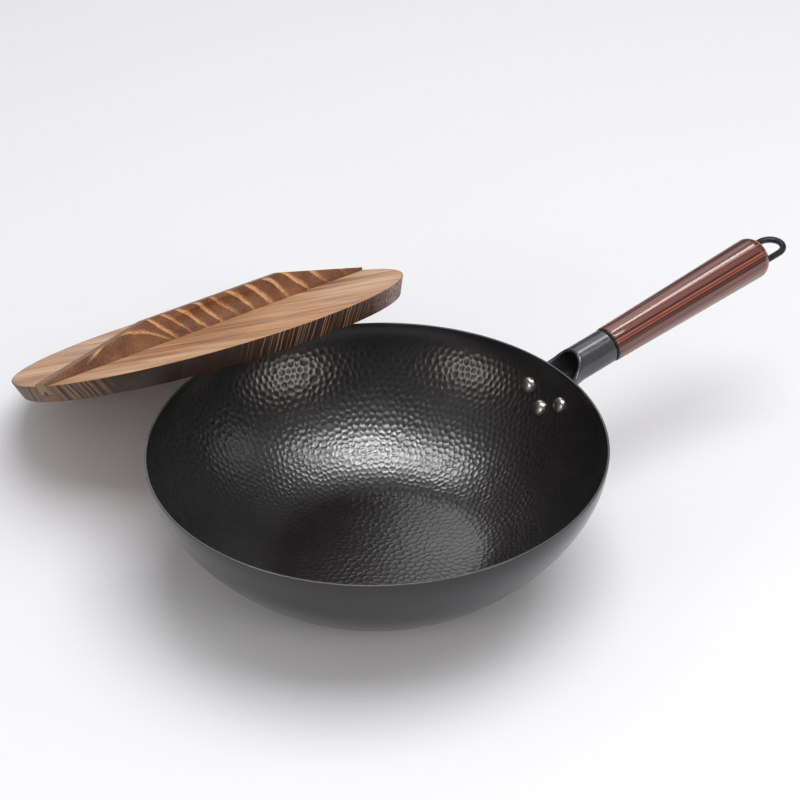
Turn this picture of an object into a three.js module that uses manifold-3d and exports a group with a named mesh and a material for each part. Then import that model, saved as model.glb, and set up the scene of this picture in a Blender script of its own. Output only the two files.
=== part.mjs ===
// Non-stick wok with a riveted wooden handle and a loose wooden lid that leans on its rim.
// Millimetres, +Z up. The origin is the centre of the base's underside, and +X runs out under the handle.
import * as THREE from "three";
import { mergeVertices, toCreasedNormals } from "three/addons/utils/BufferGeometryUtils.js";
import Module from "manifold-3d";

const wasm = await Module();
wasm.setup();

// Left between two pieces that touch
const seatGap = 0.3;

// Bowl: one sheet, its flat base rounded into walls that sweep up to an upright rim
const rimRadius = 160;
const bowlHeight = 100;
const baseRadius = 65;
const bowlWall = 1.6;
const baseSweep = 26.7;
const rimSweep = 43;

// Rivets: domed heads inside the bowl, closed tails outside the bracket
const rivetHeadRadius = 6;
const rivetHeadHeight = 3;
const rivetHeadGap = 0.6;
const rivetShankRadius = 2.5;
const rivetTailRadius = 4;
const rivetTailHeight = 1.8;
const upperRivetDrop = 23.3;
const upperRivetSpread = 17.6;
const lowerRivetDrop = 33;

// Handle axis: where it crosses the rim's radius, and its rise
const handleDrop = 10.7;
const handleRise = THREE.MathUtils.degToRad(8.3);

// Bracket: a cast tube that flares into a foot against the bowl, open on top, with a pocket for each rivet's tail
const tubeRadius = 13.1;
const bracketWall = 2.2;
const flareLength = 24;
const tubeLength = 28;
const footHalfWidth = 27.5;
const footHalfHeight = 23.5;
const footDrop = 8.5;
const boreFootRadius = 16;
const plateThickness = 2.5;
const pocketClearance = 0.6;
const mouthReach = 21.5;
const mouthKnee = 11;
const mouthDrop = 4.5;

// Stud, nut and lock washer that hold the grip to the tube
const studRadius = 3;
const studInGrip = 60;
const studPastNut = 3;
const nutAcrossFlats = 10;
const nutHeight = 5;
const lockWasherRadius = 5.2;
const lockWasherHeight = 1.6;
const lockWasherSplit = THREE.MathUtils.degToRad(12);
const heatWasherRadius = 13.2;
const heatWasherHeight = 1;

// Grip: turned wood, thicker towards its domed tail
const gripLength = 158;
const gripFrontRadius = 13.7;
const gripTailRadius = 16.4;
const gripTailRound = 11.5;
const gripTailFlat = 3.5;
const gripFrontEdge = 1;

// Hanging loop: bent wire with both legs in the grip's tail
const loopWireRadius = 2.5;
const loopHalfWidth = 10.6;
const loopStraight = 9.2;
const loopInGrip = 20;

// Lid: a bevelled disc of edge-joined planks
const lidTopRadius = 155;
const lidBottomRadius = 149.5;
const lidThickness = 13.5;
const nearPlankWidth = 50;
const farPlankWidth = 38;
const wholePlanks = 3;
const pegRadius = 2.5;
const pegLength = 30;
const pegSpread = 62;

// Lid bar: dovetailed into the lid across the planks
const barHeight = 20.5;
const barTopWidth = 8;
const barBaseWidth = 13;
const barEndHeight = 2.2;
const barKneeNear = -57;
const barKneeFar = 76;
const tongueWidth = 18;
const tongueDepth = 7.5;
const coveRadius = 12;
const coveDepth = 2.6;
const coveHeight = 11.2;
const coveHalfLength = 100;
const coveCentre = 6;

// Lid's place: its underside leans on the rim, and its low edge stands on the table
const lidTilt = THREE.MathUtils.degToRad(26.34);
const lidAzimuth = THREE.MathUtils.degToRad(85.62);
const lidSideways = 5.1;
const barTurn = THREE.MathUtils.degToRad(-78.96);

const bowlSegments = 96;
const roundSegments = 24;
const creaseAngle = THREE.MathUtils.degToRad(32);

const coating = new THREE.MeshStandardMaterial({ color: 0x1e1e20, roughness: 0.42, metalness: 0.2 });
const bracketSteel = new THREE.MeshStandardMaterial({ color: 0x57575b, roughness: 0.36, metalness: 0.85 });
const rivetSteel = new THREE.MeshStandardMaterial({ color: 0xb4b2b0, roughness: 0.28, metalness: 1 });
const fastenerSteel = new THREE.MeshStandardMaterial({ color: 0x9a9a9c, roughness: 0.35, metalness: 1 });
const blackFibre = new THREE.MeshStandardMaterial({ color: 0x141414, roughness: 0.7, metalness: 0 });
const gripWood = new THREE.MeshStandardMaterial({ color: 0x6b2f1c, roughness: 0.25, metalness: 0 });
const loopSteel = new THREE.MeshStandardMaterial({ color: 0x4a4a4d, roughness: 0.4, metalness: 0.9 });
const lidWood = new THREE.MeshStandardMaterial({ color: 0xc99a68, roughness: 0.55, metalness: 0 });
const pegWood = new THREE.MeshStandardMaterial({ color: 0xd8bd88, roughness: 0.6, metalness: 0 });
const barWood = new THREE.MeshStandardMaterial({ color: 0x7a4a2a, roughness: 0.5, metalness: 0 });

function solidFrom(geometry) {
  const bare = geometry.clone();
  bare.deleteAttribute("normal");
  bare.deleteAttribute("uv");
  const merged = mergeVertices(bare);
  return new wasm.Manifold(
    new wasm.Mesh({
      numProp: 3,
      vertProperties: merged.attributes.position.array,
      triVerts: new Uint32Array(merged.index.array),
    }),
  );
}

function geometryFrom(solid) {
  const mesh = solid.getMesh();
  const geometry = new THREE.BufferGeometry();
  geometry.setAttribute("position", new THREE.BufferAttribute(mesh.vertProperties, 3));
  geometry.setIndex(new THREE.BufferAttribute(mesh.triVerts, 1));
  return toCreasedNormals(geometry, creaseAngle);
}

function addPiece(parent, name, geometry, material) {
  const piece = new THREE.Mesh(geometry, material);
  piece.name = name;
  parent.add(piece);
  return piece;
}

// Turned solid about Z from a profile of (radius, height) points that starts and ends on the axis
function turned(points, segments) {
  return new THREE.LatheGeometry(points, segments).rotateX(Math.PI / 2);
}

function point(x, y) {
  return new THREE.Vector2(x, y);
}

// Outer line of the bowl's wall, from the base's edge up to the rim
const wallLine = new THREE.CubicBezierCurve(
  point(baseRadius, 0),
  point(baseRadius + baseSweep, 0),
  point(rimRadius, bowlHeight - rimSweep),
  point(rimRadius, bowlHeight),
);

function wallNormal(share) {
  const along = wallLine.getTangent(share);
  return point(along.y, -along.x);
}

// Points of the wall line, moved out by an offset
function wallPoints(offset, count) {
  const points = [];
  for (let i = 0; i <= count; i += 1) {
    const share = i / count;
    points.push(wallLine.getPoint(share).addScaledVector(wallNormal(share), offset));
  }
  return points;
}

// Share of the wall line at which it reaches a height
function wallShareAt(height) {
  let low = 0;
  let high = 1;
  for (let step = 0; step < 40; step += 1) {
    const middle = (low + high) / 2;
    if (wallLine.getPoint(middle).y < height) {
      low = middle;
    } else {
      high = middle;
    }
  }
  return low;
}

const part = new THREE.Group();
part.name = "wok_with_lid";

// Rivet places: on the outer wall, +Z along the wall's outward normal
function rivetPlace(drop, spread) {
  const share = wallShareAt(bowlHeight - drop);
  const onWall = wallLine.getPoint(share);
  const outward = wallNormal(share);
  const turn = Math.asin(spread / onWall.x);
  const place = new THREE.Group();
  place.position.set(onWall.x * Math.cos(turn), onWall.x * Math.sin(turn), onWall.y);
  place.rotation.set(0, Math.PI / 2 - Math.atan2(outward.y, outward.x), turn, "ZYX");
  place.updateMatrixWorld();
  return place;
}

const rivetPlaces = {
  rivet_left: rivetPlace(upperRivetDrop, upperRivetSpread),
  rivet_right: rivetPlace(upperRivetDrop, -upperRivetSpread),
  rivet_lower: rivetPlace(lowerRivetDrop, 0),
};

// Cutter for a rivet's hole, long enough to pass the wall and the plate
const rivetHoleDepth = 4 * (bowlWall + plateThickness);
const rivetHole = new THREE.CylinderGeometry(
  rivetShankRadius + seatGap,
  rivetShankRadius + seatGap,
  rivetHoleDepth,
  roundSegments,
).rotateX(Math.PI / 2);

// Bowl
const bowlProfile = [
  point(0, 0),
  ...wallPoints(0, 12),
  ...wallPoints(-bowlWall, 12).reverse(),
  point(0, bowlWall),
];
let bowl = solidFrom(turned(bowlProfile, bowlSegments));
for (const place of Object.values(rivetPlaces)) {
  bowl = bowl.subtract(solidFrom(rivetHole.clone().applyMatrix4(place.matrixWorld)));
}
addPiece(part, "wok_bowl", geometryFrom(bowl), coating);

// Rivets
const rivetSeat = -bowlWall - rivetHeadGap;
const rivetGrip = 2 * seatGap + plateThickness;
const rivetDome = new THREE.EllipseCurve(0, rivetSeat, rivetHeadRadius, rivetHeadHeight, -Math.PI / 2, 0);
const rivetProfile = [
  ...rivetDome.getPoints(5),
  point(rivetShankRadius, rivetSeat),
  point(rivetShankRadius, rivetGrip),
  point(rivetTailRadius, rivetGrip),
  point(rivetTailRadius, rivetGrip + rivetTailHeight / 2),
  point(rivetTailRadius * 0.7, rivetGrip + rivetTailHeight),
  point(0, rivetGrip + rivetTailHeight),
];
rivetProfile[0].x = 0;
for (const [name, place] of Object.entries(rivetPlaces)) {
  addPiece(place, name, turned(rivetProfile, roundSegments), rivetSteel);
  part.add(place);
}

// Handle frame: +X out along the handle's axis, from where it crosses the rim's radius
const handle = new THREE.Group();
handle.name = "handle";
handle.position.set(rimRadius, 0, bowlHeight - handleDrop);
handle.rotation.y = -handleRise;
handle.updateMatrixWorld();
part.add(handle);
const toHandle = handle.matrixWorld.clone().invert();

// Distance along the handle's axis at which a line beside it meets the bowl's outer wall
function wallReach(side, above) {
  let inside = -rimRadius / 2;
  let outside = flareLength;
  for (let step = 0; step < 30; step += 1) {
    const middle = (inside + outside) / 2;
    const spot = new THREE.Vector3(middle, side, above).applyMatrix4(handle.matrixWorld);
    const wall = wallLine.getPoint(wallShareAt(spot.z)).x;
    if (Math.hypot(spot.x, spot.y) < wall) {
      inside = middle;
    } else {
      outside = middle;
    }
  }
  return inside;
}

// Solid through rings of equally many points, closed at both ends by a fan
function lofted(rings) {
  const count = rings[0].length;
  const positions = rings.flat().flatMap((spot) => spot.toArray());
  const index = [];
  for (let ring = 0; ring + 1 < rings.length; ring += 1) {
    for (let i = 0; i < count; i += 1) {
      const a = ring * count + i;
      const b = ring * count + ((i + 1) % count);
      index.push(a, b, a + count, b, b + count, a + count);
    }
  }
  const middles = [rings[0], rings[rings.length - 1]].map((ring) =>
    ring.reduce((sum, spot) => sum.add(spot), new THREE.Vector3()).divideScalar(count),
  );
  const first = positions.length / 3;
  const lastRing = (rings.length - 1) * count;
  positions.push(...middles[0].toArray(), ...middles[1].toArray());
  for (let i = 0; i < count; i += 1) {
    const next = (i + 1) % count;
    index.push(first, next, i);
    index.push(first + 1, lastRing + i, lastRing + next);
  }
  const geometry = new THREE.BufferGeometry();
  geometry.setAttribute("position", new THREE.Float32BufferAttribute(positions, 3));
  geometry.setIndex(index);
  return geometry;
}

// Tube that flares into an oval foot on the bowl's wall, up to a given end
function flared(radius, footWide, footTall, footLow, end) {
  const round = 2 * roundSegments;
  const rings = [];
  for (let step = 0; step <= 10; step += 1) {
    rings.push([]);
  }
  for (let i = 0; i < round; i += 1) {
    const side = Math.cos((2 * Math.PI * i) / round);
    const above = Math.sin((2 * Math.PI * i) / round);
    const reach = wallReach(footWide * side, footTall * above - footLow);
    const line = new THREE.QuadraticBezierCurve3(
      new THREE.Vector3(reach, footWide * side, footTall * above - footLow),
      new THREE.Vector3((reach + flareLength) / 2, radius * side, radius * above),
      new THREE.Vector3(flareLength, radius * side, radius * above),
    );
    rings.forEach((ring, step) => ring.push(line.getPoint(step / 10)));
  }
  rings.push(rings[10].map((spot) => new THREE.Vector3(end, spot.y, spot.z)));
  return solidFrom(lofted(rings));
}

// Bracket
const tubeEnd = flareLength + tubeLength;
const boreRadius = tubeRadius - bracketWall;
const outside = flared(tubeRadius, footHalfWidth, footHalfHeight, footDrop, tubeEnd);
const bore = flared(boreRadius, boreFootRadius, boreFootRadius, 0, tubeEnd - bracketWall);

// Plate that closes the bore: a layer on the bowl's outer wall, cut to the foot's outline
const layerProfile = [
  ...wallPoints(seatGap + plateThickness, 24),
  ...wallPoints(seatGap / 2, 24).reverse(),
];
layerProfile.push(layerProfile[0].clone());
const layer = solidFrom(turned(layerProfile, bowlSegments).applyMatrix4(toHandle));
const footPrism = new THREE.CylinderGeometry(1, 1, rimRadius, 2 * roundSegments).rotateZ(Math.PI / 2);
footPrism.scale(1, footHalfWidth, footHalfHeight).translate(0, 0, -footDrop);
const plate = layer.intersect(solidFrom(footPrism));

// Mouth: a scoop that opens the flare upwards, from the tube's top down to the foot's upper edge
const mouthShape = new THREE.Shape();
mouthShape.moveTo(mouthReach + tubeRadius, 3 * tubeRadius);
mouthShape.lineTo(mouthReach, tubeRadius);
mouthShape.quadraticCurveTo(mouthKnee, -mouthDrop, -flareLength, -mouthDrop);
mouthShape.lineTo(-rimRadius, -mouthDrop);
mouthShape.lineTo(-rimRadius, 3 * tubeRadius);
const mouth = new THREE.ExtrudeGeometry(mouthShape, {
  depth: 4 * footHalfWidth,
  bevelEnabled: false,
  curveSegments: 10,
});
mouth.translate(0, 0, -2 * footHalfWidth).rotateX(Math.PI / 2);

// Bowl's outside grown by the gap, which trims the foot
const grownProfile = [
  point(0, -seatGap),
  ...wallPoints(seatGap, 24),
  point(rimRadius + seatGap, 2 * bowlHeight),
  point(0, 2 * bowlHeight),
];
const grownBowl = solidFrom(turned(grownProfile, bowlSegments).applyMatrix4(toHandle));
const studHole = new THREE.CylinderGeometry(
  studRadius + seatGap,
  studRadius + seatGap,
  4 * bracketWall,
  roundSegments,
).rotateZ(Math.PI / 2);
studHole.translate(tubeEnd, 0, 0);
const pocketRadius = rivetTailRadius + pocketClearance;
const pocket = new THREE.CylinderGeometry(pocketRadius, pocketRadius, flareLength, roundSegments);
pocket.rotateX(Math.PI / 2).translate(0, 0, flareLength / 2 + seatGap + plateThickness);
let bracket = outside.subtract(bore).add(plate);
bracket = bracket.subtract(solidFrom(mouth)).subtract(grownBowl).subtract(solidFrom(studHole));
for (const place of Object.values(rivetPlaces)) {
  const inHandle = toHandle.clone().multiply(place.matrixWorld);
  bracket = bracket.subtract(solidFrom(rivetHole.clone().applyMatrix4(inHandle)));
  bracket = bracket.subtract(solidFrom(pocket.clone().applyMatrix4(inHandle)));
}
addPiece(handle, "handle_bracket", geometryFrom(bracket), bracketSteel);

// Round piece along the handle's axis, from a profile of (radius, distance) points
function alongHandle(points, segments) {
  return turned(points, segments).rotateY(Math.PI / 2);
}

// Flat ring with an optional split, standing across the handle's axis
function ring(outerRadius, innerRadius, height, split) {
  const shape = new THREE.Shape();
  if (split > 0) {
    shape.absarc(0, 0, outerRadius, split / 2, 2 * Math.PI - split / 2, false);
    shape.absarc(0, 0, innerRadius, 2 * Math.PI - split / 2, split / 2, true);
  } else {
    shape.absarc(0, 0, outerRadius, 0, 2 * Math.PI, false);
    shape.holes.push(new THREE.Path().absarc(0, 0, innerRadius, 0, 2 * Math.PI, true));
  }
  const settings = { depth: height, bevelEnabled: false, curveSegments: roundSegments / 2 };
  return new THREE.ExtrudeGeometry(shape, settings).rotateY(Math.PI / 2);
}

// Heat washer
const heatWasherFoot = tubeEnd + seatGap;
const heatWasher = ring(heatWasherRadius, studRadius + seatGap, heatWasherHeight, 0);
addPiece(handle, "heat_washer", heatWasher, blackFibre).position.x = heatWasherFoot;

// Grip
const gripFoot = heatWasherFoot + heatWasherHeight + seatGap;
const studBore = studRadius + seatGap;
const gripTail = new THREE.EllipseCurve(
  gripTailFlat,
  gripLength - gripTailRound,
  gripTailRadius - gripTailFlat,
  gripTailRound,
  0,
  Math.PI / 2,
);
const gripProfile = [
  point(0, studInGrip + seatGap),
  point(studBore, studInGrip + seatGap),
  point(studBore, 0),
  point(gripFrontRadius - gripFrontEdge, 0),
  point(gripFrontRadius, gripFrontEdge),
  ...gripTail.getPoints(8),
  point(0, gripLength),
];
let grip = solidFrom(alongHandle(gripProfile, 2 * roundSegments));
for (const side of [-1, 1]) {
  const legHole = new THREE.CylinderGeometry(
    loopWireRadius + seatGap,
    loopWireRadius + seatGap,
    2 * (loopInGrip + seatGap),
    roundSegments,
  ).rotateZ(Math.PI / 2);
  legHole.translate(gripLength, side * loopHalfWidth, 0);
  grip = grip.subtract(solidFrom(legHole));
}
addPiece(handle, "handle_grip", geometryFrom(grip), gripWood).position.x = gripFoot;

// Lock washer, nut and stud
const lockWasherFoot = tubeEnd - bracketWall - seatGap - lockWasherHeight;
const lockWasher = ring(lockWasherRadius, studRadius + seatGap, lockWasherHeight, lockWasherSplit);
addPiece(handle, "lock_washer", lockWasher, fastenerSteel).position.x = lockWasherFoot;

const nutFoot = lockWasherFoot - seatGap - nutHeight;
const nutShape = new THREE.Shape();
for (let corner = 0; corner < 6; corner += 1) {
  const angle = (corner * Math.PI) / 3;
  const reach = nutAcrossFlats / Math.sqrt(3);
  nutShape[corner === 0 ? "moveTo" : "lineTo"](reach * Math.cos(angle), reach * Math.sin(angle));
}
nutShape.holes.push(new THREE.Path().absarc(0, 0, studRadius + seatGap, 0, 2 * Math.PI, true));
const nut = new THREE.ExtrudeGeometry(nutShape, {
  depth: nutHeight,
  bevelEnabled: false,
  curveSegments: roundSegments / 3,
}).rotateY(Math.PI / 2);
addPiece(handle, "stud_nut", nut, fastenerSteel).position.x = nutFoot;

const studFoot = nutFoot - studPastNut;
const studTip = gripFoot + studInGrip;
const studProfile = [
  point(0, studFoot),
  point(studRadius - 0.6, studFoot),
  point(studRadius, studFoot + 0.6),
  point(studRadius, studTip - 2 * studRadius),
  point(studRadius / 3, studTip),
  point(0, studTip),
];
addPiece(handle, "grip_stud", alongHandle(studProfile, roundSegments), fastenerSteel);

// Hanging loop: straight leg, half circle, straight leg
class LoopLine extends THREE.Curve {
  getPoint(share, target = new THREE.Vector3()) {
    const leg = loopInGrip + loopStraight;
    const bend = Math.PI * loopHalfWidth;
    const run = share * (2 * leg + bend);
    if (run < leg) {
      return target.set(run - loopInGrip, -loopHalfWidth, 0);
    }
    if (run > leg + bend) {
      return target.set(2 * leg + bend - run - loopInGrip, loopHalfWidth, 0);
    }
    const angle = (run - leg) / loopHalfWidth - Math.PI / 2;
    return target.set(
      loopStraight + loopHalfWidth * Math.cos(angle),
      loopHalfWidth * Math.sin(angle),
      0,
    );
  }
}
const wireShape = new THREE.Shape().absarc(0, 0, loopWireRadius, 0, 2 * Math.PI, false);
const loop = new THREE.ExtrudeGeometry(wireShape, {
  steps: 32,
  curveSegments: 6,
  extrudePath: new LoopLine(),
});
addPiece(handle, "hanging_loop", loop, loopSteel).position.x = gripFoot + gripLength;

// Lid's place: leaning over the rim towards its azimuth, low edge on the table
const lidLean = new THREE.Group();
lidLean.name = "lid_lean";
lidLean.rotation.z = lidAzimuth;
part.add(lidLean);

const lidSlide = bowlHeight / Math.sin(lidTilt) - lidBottomRadius;
const lid = new THREE.Group();
lid.name = "lid";
lid.rotation.set(0, lidTilt, barTurn, "YZX");
lid.position.set(
  rimRadius + lidSlide * Math.cos(lidTilt) + seatGap * Math.sin(lidTilt),
  lidSideways,
  bowlHeight - lidSlide * Math.sin(lidTilt) + seatGap * Math.cos(lidTilt),
);
lidLean.add(lid);

// Bevelled disc between two heights above the lid's underside, its edge carried on along the same bevel
function lidDisc(low, high, segments) {
  const lean = (lidTopRadius - lidBottomRadius) / lidThickness;
  const disc = new THREE.CylinderGeometry(
    lidBottomRadius + lean * high,
    lidBottomRadius + lean * low,
    high - low,
    segments,
  ).rotateX(Math.PI / 2);
  return disc.translate(0, 0, (high + low) / 2);
}

// Bar and dovetail in section, swept along the bar, with a clearance added all round
function barSection(clearance) {
  const grow = clearance * Math.hypot(1, (tongueWidth - barBaseWidth) / 2 / tongueDepth);
  const shape = new THREE.Shape();
  shape.moveTo(-tongueWidth / 2 - grow, -tongueDepth - clearance);
  shape.lineTo(tongueWidth / 2 + grow, -tongueDepth - clearance);
  shape.lineTo(barBaseWidth / 2 + grow, 0);
  shape.lineTo(barTopWidth / 2 + grow, barHeight + clearance);
  shape.lineTo(-barTopWidth / 2 - grow, barHeight + clearance);
  shape.lineTo(-barBaseWidth / 2 - grow, 0);
  const length = 4 * lidTopRadius;
  const sweep = new THREE.ExtrudeGeometry(shape, { depth: length, bevelEnabled: false });
  sweep.translate(0, 0, -length / 2);
  const stand = new THREE.Matrix4().makeBasis(
    new THREE.Vector3(0, 1, 0),
    new THREE.Vector3(0, 0, 1),
    new THREE.Vector3(1, 0, 0),
  );
  return sweep.applyMatrix4(stand).translate(0, 0, lidThickness);
}

// Seams: whole planks of one width fill what the two rounded edge planks leave
const plankWidth = (2 * lidTopRadius - nearPlankWidth - farPlankWidth) / wholePlanks;
const seams = [];
for (let i = 0; i <= wholePlanks; i += 1) {
  seams.push(nearPlankWidth - lidTopRadius + i * plankWidth);
}

// Peg places: two at each seam, half way up the planks
const pegHole = new THREE.CylinderGeometry(
  pegRadius + seatGap,
  pegRadius + seatGap,
  pegLength + 2 * seatGap,
  12,
).rotateZ(Math.PI / 2);

// Planks
const wholeLid = solidFrom(lidDisc(0, lidThickness, 96));
const groove = solidFrom(barSection(seatGap));
const edges = [-2 * lidTopRadius, ...seams, 2 * lidTopRadius];
for (let i = 0; i + 1 < edges.length; i += 1) {
  const width = edges[i + 1] - edges[i] - seatGap;
  const slab = new THREE.BoxGeometry(width, 4 * lidTopRadius, 4 * lidThickness);
  slab.translate((edges[i] + edges[i + 1]) / 2, 0, 0);
  let plank = wholeLid.intersect(solidFrom(slab)).subtract(groove);
  for (const seam of seams) {
    for (const side of [-1, 1]) {
      const hole = pegHole.clone().translate(seam, side * pegSpread, lidThickness / 2);
      plank = plank.subtract(solidFrom(hole));
    }
  }
  addPiece(lid, `lid_plank_${i + 1}`, geometryFrom(plank), lidWood);
}

// Pegs
seams.forEach((seam, i) => {
  for (const [end, side] of [["near", -1], ["far", 1]]) {
    const peg = new THREE.CylinderGeometry(pegRadius, pegRadius, pegLength, 12).rotateZ(Math.PI / 2);
    const piece = addPiece(lid, `plank_peg_${i + 1}_${end}`, peg, pegWood);
    piece.position.set(seam, side * pegSpread, lidThickness / 2);
  }
});

// Bar: its section and its side view cut into one another, trimmed to the lid's bevel, then coved for the fingers
const sideView = new THREE.Shape();
sideView.moveTo(-2 * lidTopRadius, -tongueDepth - barHeight);
sideView.lineTo(2 * lidTopRadius, -tongueDepth - barHeight);
sideView.lineTo(2 * lidTopRadius, barEndHeight);
sideView.lineTo(lidTopRadius, barEndHeight);
sideView.lineTo(barKneeFar, barHeight);
sideView.lineTo(barKneeNear, barHeight);
sideView.lineTo(-lidTopRadius, barEndHeight);
sideView.lineTo(-2 * lidTopRadius, barEndHeight);
const sideSweep = new THREE.ExtrudeGeometry(sideView, { depth: 2 * tongueWidth, bevelEnabled: false });
sideSweep.translate(0, 0, -tongueWidth).rotateX(Math.PI / 2).translate(0, 0, lidThickness);
let bar = solidFrom(barSection(0)).intersect(solidFrom(sideSweep));
bar = bar.intersect(solidFrom(lidDisc(0, lidThickness + 2 * barHeight, 96)));
const coveProfile = [];
for (let i = 0; i <= 16; i += 1) {
  const share = i / 8 - 1;
  coveProfile.push(point(coveRadius * (1 - share * share), share * coveHalfLength));
}
const barWidthAtCove = barBaseWidth + ((barTopWidth - barBaseWidth) * coveHeight) / barHeight;
const coveAxis = barWidthAtCove / 2 + coveRadius - coveDepth;
for (const side of [-1, 1]) {
  const cove = turned(coveProfile, roundSegments).rotateY(Math.PI / 2);
  cove.translate(coveCentre, side * coveAxis, lidThickness + coveHeight);
  bar = bar.subtract(solidFrom(cove));
}
addPiece(lid, "lid_bar", geometryFrom(bar), barWood);

export default part;
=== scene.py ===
import math

import bmesh
import bpy
import numpy as np
from mathutils import Matrix, Vector
from mathutils.geometry import delaunay_2d_cdt


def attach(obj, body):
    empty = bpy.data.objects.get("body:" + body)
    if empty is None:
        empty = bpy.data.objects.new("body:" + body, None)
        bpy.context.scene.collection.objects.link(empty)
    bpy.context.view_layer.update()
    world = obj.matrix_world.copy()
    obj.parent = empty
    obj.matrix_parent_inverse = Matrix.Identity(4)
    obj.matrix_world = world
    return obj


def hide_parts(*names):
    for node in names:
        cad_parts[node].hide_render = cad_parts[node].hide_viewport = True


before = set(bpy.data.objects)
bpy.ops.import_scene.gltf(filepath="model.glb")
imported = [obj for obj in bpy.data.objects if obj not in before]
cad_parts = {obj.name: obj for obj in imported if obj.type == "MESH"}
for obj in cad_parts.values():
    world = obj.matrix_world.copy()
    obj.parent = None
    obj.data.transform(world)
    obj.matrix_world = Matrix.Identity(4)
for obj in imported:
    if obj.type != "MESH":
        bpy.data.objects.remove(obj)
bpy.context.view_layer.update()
scene = bpy.context.scene

# Camera: a long lens at standing height, in front of the wok and to the left of its handle, looking down
# into the bowl. The handle points away to the upper right, and the lid leans on the far left of the rim.
camera_turn = Matrix.Rotation(math.radians(-37), 3, "Z")
camera_tilt = Matrix.Rotation(math.radians(90 - 33.195), 3, "X")
camera_roll = Matrix.Rotation(math.radians(-0.84), 3, "Z")
camera = bpy.data.objects.new("camera", bpy.data.cameras.new("camera"))
camera.data.lens = 99
camera.data.sensor_width = 36
camera.matrix_world = Matrix.Translation((-0.74116, -1.01052, 0.95462)) @ (
    camera_turn @ camera_tilt @ camera_roll
).to_4x4()
scene.collection.objects.link(camera)
scene.camera = camera


# Bowl's outside: one steel sheet, spun to shape and cut off plain at the rim, under a dark non-stick coat.
# The sheet is 1.6 mm thick, its cut edge is rounded over, and its flat base stands on the table.
RIM_RADIUS = 0.16
BOWL_HEIGHT = 0.1
BASE_RADIUS = 0.065
BASE_SWEEP = 0.0267
RIM_SWEEP = 0.043
SHEET = 0.0016
RIM_ROUND = 0.0006
SHELL_STEPS = 288


def bowl_line(offset, count):
    """Points (radius, height) of the wall's outer line, moved along its normal by an offset."""
    start = np.array([BASE_RADIUS, 0.0])
    near = start + np.array([BASE_SWEEP, 0.0])
    rim = np.array([RIM_RADIUS, BOWL_HEIGHT])
    under = rim - np.array([0.0, RIM_SWEEP])
    t = np.linspace(0, 1, count)[:, None]
    spots = (1 - t) ** 3 * start + 3 * (1 - t) ** 2 * t * near + 3 * (1 - t) * t**2 * under + t**3 * rim
    run = 3 * (1 - t) ** 2 * (near - start) + 6 * (1 - t) * t * (under - near) + 3 * t**2 * (rim - under)
    run /= np.linalg.norm(run, axis=1)[:, None]
    return spots + offset * np.stack([run[:, 1], -run[:, 0]], axis=1)


def turned(profile, steps):
    """Vertices and faces of (radius, height) points turned about Z. A point on the axis is a pole."""
    vertices = []
    rows = []
    for radius, height in profile:
        if radius < 1e-7:
            rows.append([len(vertices)] * steps)
            vertices.append((0.0, 0.0, height))
            continue
        rows.append([len(vertices) + i for i in range(steps)])
        for i in range(steps):
            angle = 2 * math.pi * i / steps
            vertices.append((radius * math.cos(angle), radius * math.sin(angle), height))
    faces = []
    for low, high in zip(rows, rows[1:]):
        for i in range(steps):
            corners = [low[i], low[i - steps + 1], high[i - steps + 1], high[i]]
            faces.append(list(dict.fromkeys(corners)))
    return np.array(vertices), faces


def arc(middle, radii, start, end, count):
    """Points of an elliptical arc, angles in degrees."""
    angles = np.radians(np.linspace(start, end, count))
    return np.stack([middle[0] + radii[0] * np.cos(angles), middle[1] + radii[1] * np.sin(angles)], axis=1)


def add_piece(name, vertices, faces, local=None):
    """A smooth mesh object in the part's frame. Its 'place' attribute keeps each vertex's own local spot."""
    mesh = bpy.data.meshes.new(name)
    mesh.from_pydata([tuple(v) for v in vertices], [], faces)
    mesh.shade_smooth()
    spots = vertices if local is None else local
    place = mesh.attributes.new("place", "FLOAT_VECTOR", "POINT")
    place.data.foreach_set("vector", np.asarray(spots, np.float32).ravel())
    piece = bpy.data.objects.new(name, mesh)
    scene.collection.objects.link(piece)
    return piece


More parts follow.
